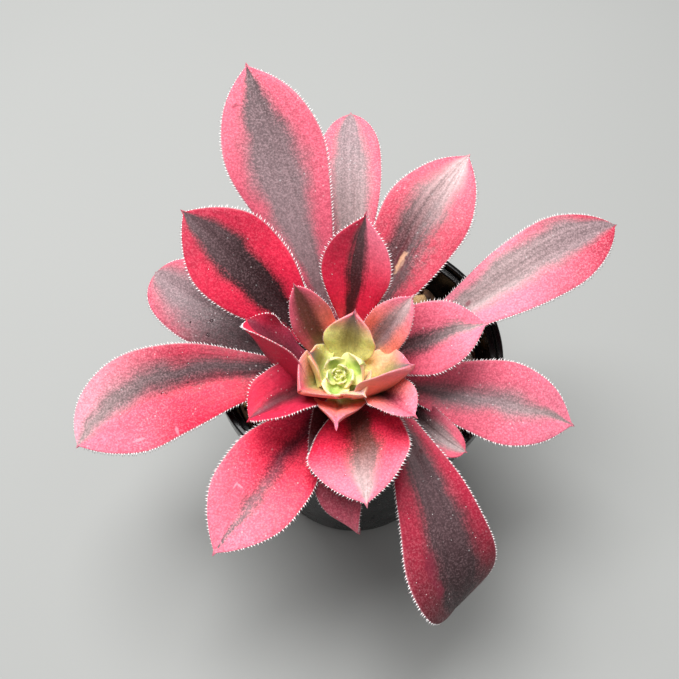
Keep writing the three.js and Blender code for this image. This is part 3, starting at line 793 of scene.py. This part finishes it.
# Textures per metre, so 1000 is one feature per millimetre
VELVET_SCALE = 2600
MOTTLE_SCALE = 900
PATCH_SCALE = 170
WOBBLE_SCALE = 190
STREAKS_ACROSS = 9
STREAKS_ALONG = 1.3
STRIPE_WOBBLE = 0.36
STRIPE_STREAKS = 0.5
STRIPE_GRAIN = 0.35
STRIPE_SOFTNESS = 1.8
GRAIN_LEAST = 0.2
GRAIN_BY_FROST = 7
HAIRS_AND_SHEEN_STRENGTH = 1.3
SPECK_SCALE = 620
SCAR_RAGGEDNESS = 1.6
VELVET_DEPTH = 0.12
# Colour of the velvet's pale hairs, which also serves as painted sheen
HAIRS_AND_SHEEN_COLOUR = "f3ccd2"
SHEEN_COLOUR = "ffe3e6"
MARGIN_COLOUR = "f0b8c0"


def leaf_material(look, age):
    """Velvet of one leaf: its margin colour, its stripe, lengthwise lines, pale grain that is partly
    painted sheen towards the tip, and scars.
    """
    s = Shader(look["name"])
    place = s.place()
    across, along = s.attribute("across"), s.attribute("along")
    own = float(look["seat"])

    wobble = s.math("MULTIPLY_ADD", s.noise(place, WOBBLE_SCALE, 1.0), STRIPE_WOBBLE, -STRIPE_WOBBLE / 2)
    grain = s.noise(place, VELVET_SCALE, 2.0, 0.7)
    lines = s.vector(s.times(across, STREAKS_ACROSS), s.times(along, STREAKS_ALONG), own)
    streak = s.noise(lines, 1.0, 3.0, 0.6)
    fine = s.noise(s.vector(s.times(across, 3 * STREAKS_ACROSS), s.times(along, 3.0), own), 1.0, 2.0)

    rough = min(1.0, GRAIN_LEAST + GRAIN_BY_FROST * look["hairs_and_sheen"])
    middle = s.level(along, look["middle"])
    offset = s.math("ABSOLUTE", s.math("SUBTRACT", s.plus(across, wobble), middle))
    jagged = s.sway(streak, look["streaks"] * STRIPE_STREAKS, offset)
    jagged = s.sway(grain, STRIPE_GRAIN * rough, jagged)
    distance = s.math("DIVIDE", jagged, s.math("MAXIMUM", s.level(along, look["wide"]), 0.01))
    soft = min(1.0, STRIPE_SOFTNESS * look["soft"])
    inside = s.fade(distance, 1 - soft, 1 + soft, 1.0, 0.0)

    # Margin and stripe colours run from stem to tip; their dark colours at the stem are partly painted
    # shade deep in the rosette
    margin = s.ramp(along, leaf_colours(look["margin"]))
    if "left" in look:
        left = s.ramp(along, leaf_colours(look["left"]))
        margin = s.mix(s.fade(across, -0.1, 0.1), margin, left)
    stripe = s.ramp(along, leaf_colours(look["stripe"]))
    depth = s.fade(streak, 0.3, 0.7, 1 - 0.45 * look["streaks"], 1 + 0.3 * look["streaks"])
    stripe = s.mix(1.0, stripe, s.grey(depth), "MULTIPLY")
    base = s.mix(inside, margin, stripe)

    mottle = s.noise(place, MOTTLE_SCALE, 2.0)
    patches = s.noise(place, PATCH_SCALE, 2.0)
    tone = s.plus(s.fade(grain, 0.3, 0.7, -0.2 * rough, 0.2 * rough), s.fade(mottle, 0.3, 0.7, 0.9, 1.1))
    tone = s.plus(tone, s.fade(fine, 0.3, 0.7, -0.05, 0.05))
    base = s.mix(1.0, base, s.grey(tone), "MULTIPLY")
    # Pale velvet: partly the leaf's own pale hairs and partly painted sheen, growing towards the tip
    velvet = s.times(s.fade(grain, 0.46, 0.66), s.fade(patches, 0.25, 0.75, 0.6, 1.0))
    velvet = s.times(velvet, s.fade(along, 0.3, 0.75, 0.35, 1.0))
    base = s.mix(s.times(velvet, HAIRS_AND_SHEEN_STRENGTH * look["hairs_and_sheen"]), base, colour(HAIRS_AND_SHEEN_COLOUR))
    rim = s.fade(s.math("ABSOLUTE", across), 0.96, 1.0, 0.0, 0.5)
    base = s.mix(rim, base, colour(MARGIN_COLOUR))
    speck = s.times(s.fade(s.cells(place, SPECK_SCALE), 0.08, 0.14, 1.0, 0.0), s.fade(patches, 0.5, 0.56))
    base = s.mix(s.times(speck, 0.25), base, colour("ffffff"))

    for u, v, half_u, half_v, name in look["marks"]:
        a = s.math("DIVIDE", s.math("SUBTRACT", along, u), half_u)
        b = s.math("DIVIDE", s.math("SUBTRACT", across, v), half_v)
        reach = s.math("SQRT", s.plus(s.times(a, a), s.times(b, b)))
        ragged = s.sway(mottle, SCAR_RAGGEDNESS, reach)
        base = s.mix(s.fade(ragged, 0.5, 1.3, 0.6, 0.0), base, leaf_colour(name))

    below = s.mix(s.fade(along, 0.0, 1.0, 0.75, 0.5), base, leaf_colour(look["below"]))
    base = s.mix(s.attribute("under"), base, below)

    height = s.plus(s.times(grain, 0.5), s.plus(s.times(streak, 0.8), s.times(mottle, 0.4)))
    s.set(
        Base_Color=base,
        Roughness=s.fade(mottle, 0.3, 0.7, 0.45, 0.6),
        Specular_IOR_Level=0.35,
        Subsurface_Weight=GLOWS[age],
        Subsurface_Radius=(0.0015, 0.001, 0.0005),
        Sheen_Weight=0.05,
        Sheen_Roughness=0.4,
        Sheen_Tint=colour(SHEEN_COLOUR),
        Normal=s.bump(height, VELVET_DEPTH * MM, 0.8),
    )
    return s.material


def fringe_material():
    s = Shader("fringe")
    tone = s.fade(s.noise(s.place(), 1500), 0.3, 0.7)
    s.set(Base_Color=s.mix(tone, colour("f6e6e6"), colour("ffffff")), Roughness=0.45)
    return s.material


def dew_material():
    s = Shader("dew")
    clear = s.mix(s.noise(s.place(), 900), colour("ffffff"), colour("f4fbff"))
    s.set(Base_Color=clear, Roughness=0.03, IOR=1.33, Transmission_Weight=1.0)
    return s.material


def dust_material():
    s = Shader("dust")
    tone = s.noise(s.place(), 1200)
    s.set(Base_Color=s.mix(tone, colour("d8c8c4"), colour("ffffff")), Roughness=0.8)
    return s.material


def heart_material():
    """Pale green, with a darker green middle on each leaf and pink on the outer ones' edges."""
    s = Shader("heart")
    place = s.place()
    across, along, young = s.attribute("across"), s.attribute("along"), s.attribute("young")
    offset = s.math("ABSOLUTE", across)
    wobble = s.math("MULTIPLY_ADD", s.noise(place, 600, 2.0), 0.5, -0.25)
    pale = s.ramp(along, colours("f8f8a8", "f8f8a8", "f8f6b0", "fcf4c0"))
    green = s.ramp(along, colours("f0f494", "c8dc70", "90b04c", "a4b460"))
    inside = s.fade(s.plus(offset, wobble), 0.25, 0.75, 1.0, 0.0)
    base = s.mix(s.times(inside, s.fade(young, 0.0, 0.8, 0.95, 0.35)), pale, green)
    edge = s.times(s.fade(s.plus(offset, s.times(along, 0.6)), 1.2, 1.6), s.fade(young, 0.0, 0.2, 0.5, 0.0))
    base = s.mix(edge, base, colour("d98a86"))
    mottle = s.noise(place, 1400, 2.0)
    base = s.mix(1.0, base, s.grey(s.fade(mottle, 0.3, 0.7, 0.9, 1.1)), "MULTIPLY")
    base = s.mix(s.times(s.attribute("under"), 0.3), base, colour("a8b068"))
    s.set(
        Base_Color=base,
        Roughness=s.fade(mottle, 0.3, 0.7, 0.35, 0.5),
        Subsurface_Weight=0.25,
        Subsurface_Radius=(0.002, 0.002, 0.0006),
        Sheen_Weight=0.1,
        Normal=s.bump(mottle, 0.06 * MM),
    )
    return s.material


def stem_material():
    s = Shader("stem")
    place = s.place()
    bands = s.node("ShaderNodeTexWave", {"Vector": place, "Scale": 120.0, "Distortion": 6.0, "Detail": 3.0},
                   bands_direction="Z").outputs["Fac"]
    rough = s.noise(place, 900, 4.0, 0.7)
    bark = s.ramp(rough, colours("38241c", "6a4936", "8d6a50", "b09a80"))
    bark = s.mix(s.times(bands, 0.4), bark, colour("4a3a28"))
    green = s.fade(s.attribute("along"), 0.72, 0.98)
    bark = s.mix(s.times(green, 0.7), bark, colour("8c8a4e"))
    bark = s.mix(s.attribute("scar"), bark, colour("c0a488"))
    height = s.plus(rough, s.times(bands, 0.6))
    s.set(Base_Color=bark, Roughness=s.fade(rough, 0.3, 0.7, 0.9, 0.65), Normal=s.bump(height, 0.3 * MM))
    return s.material


def soil_material(codes):
    """Damp peat between the stones, and the stones in their own tints."""
    s = Shader("soil")
    place = s.place()
    coarse = s.noise(place, 700, 4.0, 0.7)
    fine = s.noise(place, 3200, 3.0, 0.7)
    peat = s.ramp(coarse, colours("22160f", "44301f", "745038", "a47c5c"))
    stone = s.ramp(s.attribute("tint"), colours(*codes))
    stone = s.mix(1.0, stone, s.grey(s.fade(fine, 0.25, 0.75, 0.65, 1.25)), "MULTIPLY")
    stone = s.mix(s.fade(coarse, 0.5, 0.8, 0.0, 0.45), stone, colour("1d130d"))
    base = s.mix(s.attribute("rock"), peat, stone)
    height = s.plus(coarse, s.times(fine, 0.5))
    s.set(Base_Color=base, Roughness=s.fade(fine, 0.3, 0.7, 0.95, 0.7), Normal=s.bump(height, 0.3 * MM))
    return s.material


def pot_material():
    """Glossy black moulded plastic with a little dust, faint scratches and flow lines."""
    s = Shader("pot")
    place = s.place()
    dust = s.noise(place, 90, 5.0, 0.65)
    speck = s.fade(s.cells(place, 260), 0.06, 0.12, 1.0, 0.0)
    upright = s.node("ShaderNodeMapping", {"Vector": place, "Scale": (900.0, 900.0, 18.0)}).outputs[0]
    scratch = s.fade(s.noise(upright, 1.0, 2.0), 0.66, 0.72)
    base = s.mix(s.fade(dust, 0.5, 0.8, 0.0, 0.25), colour("060607"), colour("211f1e"))
    base = s.mix(s.times(speck, 0.3), base, colour("8a8378"))
    base = s.mix(s.times(scratch, 0.15), base, colour("55565a"))
    rough = s.plus(s.fade(dust, 0.35, 0.75, 0.2, 0.36), s.times(scratch, 0.15))
    height = s.plus(s.times(dust, 0.5), s.times(s.noise(place, 1300, 2.0), 0.2))
    s.set(Base_Color=base, Roughness=rough, Specular_IOR_Level=0.25, Normal=s.bump(height, 0.15 * MM, 0.5))
    return s.material


def floor_material():
    s = Shader("floor")
    tone = s.noise(s.place(), 3.0, 3.0)
    s.set(Base_Color=s.mix(tone, colour(FLOOR_COLOUR), colour("a6a7a5")), Roughness=0.85)
    return s.material


# Pieces


def settle(piece, slot, *nodes):
    """Ties a finished piece to the body and hides the nodes that it stands for; slot is not used."""
    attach(piece, "root")
    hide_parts(*nodes)


def leaf_piece(leaf, shared):
    """One open leaf, with the materials that all leaves share after its own."""
    look = {**PLAIN, **leaf}
    name = look["name"]
    age = name.split("_")[1]
    random = np.random.default_rng(LEAF_SEED + look["seat"])
    blade = open_blade(look)
    form = Form("across", "along", "under")
    add_blade(form, blade, BLADE_GRIDS[age])
    add_fringe(form, blade, random, FRINGE)
    for u, v, radius in look["dew"]:
        add_drop(form, blade, u, v, radius, DEW)
    for _ in range(look["dust"]):
        u, v = random.uniform(*DUST_ALONG), random.uniform(*DUST_ACROSS)
        add_drop(form, blade, u, v, random.uniform(*DUST_RADIUS), DUST)
    material = leaf_material(look, age)
    piece = form.piece(name + "_velvet", material, *shared)
    settle(piece, "leaf_" + age, name)


def add_drop(form, blade, u, v, radius, kind):
    """A drop or speck on the upper side of a blade."""
    u, v = np.array([u]), np.array([v])
    centre, up = blade.at(u, v, 1)[0], blade.normal(u, v)[0]
    add_dome(form, centre, up, radius, kind, across=v[0], along=u[0])


def heart_piece():
    form = Form("across", "along", "under", "young")
    top, axis = stem_at(1)
    add_dome(form, top, axis, STEM_TOP_RADIUS, 0, along=0.2, young=1)
    for k in range(HEART_LEAVES):
        add_blade(form, heart_blade(k), HEART_GRID, young=k / (HEART_LEAVES - 1))
    settle(form.piece("heart_leaves", heart_material()), "heart", "heart")


def stem_piece():
    form = Form("along", "scar")
    along = np.linspace(0, 1, STEM_RINGS)
    turn = turn_in(STEM_SIDES)
    middles, ahead = stem_at(along)
    side = square_to(np.broadcast_to((1.0, 0.0, 0.0), ahead.shape), ahead)
    front = np.cross(ahead, side)
    out = np.cos(turn)[None, :, None] * side[:, None] + np.sin(turn)[None, :, None] * front[:, None]
    scar = np.zeros((STEM_RINGS, STEM_SIDES))
    for step in range(1, OLD_SCARS + 1):
        high = (along - seat_along(LEAVES[-1]["seat"] + step)) * STEM_LENGTH / SCAR_SIZE
        angle = math.radians(LEAVES[-1]["azimuth"] + HEART_TURN * step)
        round_it = np.angle(np.exp(1j * (turn - angle))) * STEM_RADIUS / SCAR_WIDTH
        scar = np.maximum(scar, np.exp(-(high[:, None] ** 2) - round_it[None, :] ** 2))
    radius = stem_radius(along)[:, None] - SCAR_DEPTH * scar
    smooth_points = middles[:, None] + out * radius[..., None]
    bark = [noise.fractal(Vector(point) * 0.9, 0.8, 2.0, 4) for point in smooth_points.reshape(-1, 3)]
    relief = BARK_RELIEF * np.array(bark).reshape(radius.shape) * (1 - scar)
    points = smooth_points + out * relief[..., None]
    round_top = 1 - smooth(1 - STEM_TOP_ROUND / STEM_LENGTH, 1, along) * 0.5
    points = middles[:, None] + (points - middles[:, None]) * round_top[:, None, None]
    faces = ring_faces(STEM_RINGS, STEM_SIDES)
    last = (STEM_RINGS - 1) * STEM_SIDES
    faces.append(tuple(reversed(range(STEM_SIDES))))
    faces.append(tuple(range(last, last + STEM_SIDES)))
    form.add(points, faces, along=np.repeat(along, STEM_SIDES), scar=scar.ravel())
    settle(form.piece("stem_bark", stem_material()), "stem", "stem")


def pot_radius(z):
    return BASE_RADIUS + (RIM_RADIUS - BAND_PROUD - BASE_RADIUS) * z / POT_HEIGHT


def wall_radius(z):
    return pot_radius(z) - POT_WALL


def eased(corners, steps=5):
    """An outline with its corners rounded: corners are (radius, height, rounding)."""
    points = [np.array(corner[:2], float) for corner in corners]
    outline = [points[0]]
    for k in range(1, len(corners) - 1):
        here = points[k]
        ends = []
        for near in (points[k - 1], points[k + 1]):
            reach = min(corners[k][2], np.linalg.norm(near - here) / 2)
            ends.append(here + unit(near - here) * reach)
        outline.extend(bezier((ends[0], here, ends[1]), np.linspace(0, 1, steps)))
    outline.append(points[-1])
    return outline


def add_lathe(form, outline, sides):
    """Turns an outline from the axis round to the axis about Z."""
    turn = turn_in(sides)
    ring = np.stack((np.cos(turn), np.sin(turn), np.zeros(sides)), axis=1)
    rings = [ring * radius + (0, 0, z) for radius, z in outline[1:-1]]
    ends = [(0, 0, outline[0][1]), (0, 0, outline[-1][1])]
    form.add(np.concatenate((*rings, ends)), closed_faces(len(rings), sides))


def pot_piece():
    band = POT_HEIGHT - BAND_HEIGHT
    ledge = POT_HEIGHT - LEDGE_DEPTH
    lip = RIM_RADIUS - LIP_WIDTH
    corners = (
        (0, 0, 0),
        (BASE_RADIUS - BASE_CHAMFER, 0, 0.3),
        (pot_radius(BASE_CHAMFER), BASE_CHAMFER, 0.6),
        (pot_radius(band), band, 0.4),
        (RIM_RADIUS - BAND_TAPER, band + RIM_ROUND, 0.5),
        (RIM_RADIUS, POT_HEIGHT, RIM_ROUND),
        (lip, POT_HEIGHT, RIM_ROUND),
        (lip, ledge, 0.3),
        (wall_radius(ledge), ledge, 0.4),
        (wall_radius(POT_FLOOR), POT_FLOOR, 1.2),
        (0, POT_FLOOR, 0),
    )
    form = Form()
    add_lathe(form, eased(corners), POT_SIDES)
    pot = form.piece("pot_plastic", pot_material())
    drills = Form()
    for k in range(DRAIN_HOLES):
        angle = 2 * math.pi * k / DRAIN_HOLES
        drill = Form()
        outline = [(0, -4), (DRAIN_RADIUS, -4), (DRAIN_RADIUS, 4), (0, 4)]
        add_lathe(drill, outline, DRAIN_SIDES)
        place = (DRAIN_CIRCLE * math.cos(angle), DRAIN_CIRCLE * math.sin(angle), 0)
        drills.add(drill.points[0] + place, drill.faces)
    cutter = drills.piece("drain_cutter")
    cut = pot.modifiers.new("drain", "BOOLEAN")
    cut.operation = "DIFFERENCE"
    cut.object = cutter
    applied(pot)
    bpy.data.objects.remove(cutter)
    settle(pot, "pot", "pot")


def applied(piece):
    """Replaces a piece's mesh by what its modifiers make of it."""
    graph = bpy.context.evaluated_depsgraph_get()
    mesh = bpy.data.meshes.new_from_object(piece.evaluated_get(graph))
    piece.modifiers.clear()
    piece.data = mesh


def soil_height(x, y):
    radius = math.hypot(x, y) / wall_radius(SOIL_LEVEL)
    waves = sum(height * math.sin(a * x + b * y + phase) for a, b, phase, height in SOIL_WAVES)
    return SOIL_LEVEL + SOIL_MOUND * (1 - radius**2) + waves


def soil_piece():
    random = np.random.default_rng(SOIL_SEED)
    form = Form("rock", "tint")
    reach = wall_radius(SOIL_LEVEL) - SOIL_SLACK
    floor = POT_FLOOR + GAP
    turn = turn_in(SOIL_SIDES)
    points = []
    for ring in range(1, SOIL_RINGS + 1):
        for angle in turn:
            radius = reach * ring / SOIL_RINGS
            x, y = radius * math.cos(angle), radius * math.sin(angle)
            crumb = CRUMB_HEIGHT * noise.fractal(Vector((x, y, 0)) / CRUMB_SIZE, 0.7, 2.1, 4)
            points.append((x, y, soil_height(x, y) + crumb))
    foot = wall_radius(floor) - SOIL_SLACK
    points += [(foot * math.cos(angle), foot * math.sin(angle), floor) for angle in turn]
    points += [(0, 0, soil_height(0, 0)), (0, 0, floor)]
    form.add(points, [face[::-1] for face in closed_faces(SOIL_RINGS + 1, SOIL_SIDES)])
    balls = ball_points()
    codes = [code for stone in STONES for code in stone["colours"]]
    for stone in STONES:
        for _ in range(stone["count"]):
            tint = codes.index(stone["colours"][random.integers(len(stone["colours"]))])
            add_stone(form, balls, stone, reach, random, tint / (len(codes) - 1))
    settle(form.piece("soil_mix", soil_material(codes)), "soil", "soil")


def ball_points():
    """Points and faces of a ball of 80 faces, radius 1."""
    bpy.ops.mesh.primitive_ico_sphere_add(subdivisions=2, radius=1)
    ball = bpy.context.object
    points = np.array([vertex.co for vertex in ball.data.vertices])
    faces = [tuple(polygon.vertices) for polygon in ball.data.polygons]
    bpy.data.objects.remove(ball)
    return points, faces


def add_stone(form, ball, stone, reach, random, tint):
    """A stone of one kind, pushed out of round and turned, lying in the soil's surface."""
    points, faces = ball
    least, greatest = stone["size"]
    size = least + (greatest - least) * random.random() ** 2
    radius = (reach - STONE_MARGIN * size) * math.sqrt(random.random())
    angle = 2 * math.pi * random.random()
    x, y = radius * math.cos(angle), radius * math.sin(angle)
    shift = Vector(random.uniform(-50, 50, 3))
    rough = np.array([noise.noise(Vector(point) * 1.4 + shift) for point in points])
    shape = points * (1 + STONE_ROUGH * 2 * rough[:, None])
    shape = shape * size * (1, random.uniform(STONE_NARROWEST, 1), stone["flat"] * random.uniform(0.8, 1.1))
    tilt, spin = random.normal(0, STONE_TILT), random.uniform(0, 2 * math.pi)
    turned = shape @ turn_about("X", tilt).T @ turn_about("Z", spin).T
    lift = soil_height(x, y) + size * stone["flat"] * (1 - 2 * STONE_SUNK) + STONE_LIFT * random.random()
    form.add(turned + (x, y, lift), faces, rock=1, tint=tint)


def turn_about(axis, angle):
    return np.array(Matrix.Rotation(angle, 3, axis))


# Stage


def stage():
    bpy.ops.mesh.primitive_plane_add(size=FLOOR_SIZE * MM, location=(0, 0, 0))
    floor = bpy.context.object
    floor.name = "floor"
    floor.data.materials.append(floor_material())

    lamp_data = bpy.data.lights.new("window", "AREA")
    lamp_data.shape = "DISK"
    lamp_data.size = LAMP_SIZE * MM
    lamp_data.energy = LAMP_WATTS
    lamp = bpy.data.objects.new("window", lamp_data)
    bpy.context.collection.objects.link(lamp)
    lamp.location = Vector(LAMP_PLACE) * MM
    lamp.rotation_euler = (Vector(LAMP_AIM) - Vector(LAMP_PLACE)).to_track_quat("-Z", "Y").to_euler()

    world = bpy.data.worlds.new("sky")
    world.use_nodes = True
    background = world.node_tree.nodes["Background"]
    background.inputs["Color"].default_value = (1, 1, 1, 1)
    background.inputs["Strength"].default_value = SKY_STRENGTH
    bpy.context.scene.world = world


def camera():
    data = bpy.data.cameras.new("camera")
    data.sensor_width = SENSOR
    data.lens = SENSOR * FOCAL_PIXELS / PHOTO_SIZE
    data.clip_start = 0.01
    eye = bpy.data.objects.new("camera", data)
    bpy.context.collection.objects.link(eye)
    eye.location = Vector(CAMERA_PLACE) * MM
    eye.rotation_euler = (math.radians(90 - CAMERA_PITCH), 0, 0)
    scene = bpy.context.scene
    scene.camera = eye
    scene.view_settings.view_transform = "Standard"


camera()
stage()
shared_materials = (fringe_material(), dew_material(), dust_material())
for entry in LEAVES:
    leaf_piece(entry, shared_materials)
heart_piece()
stem_piece()
soil_piece()
pot_piece()
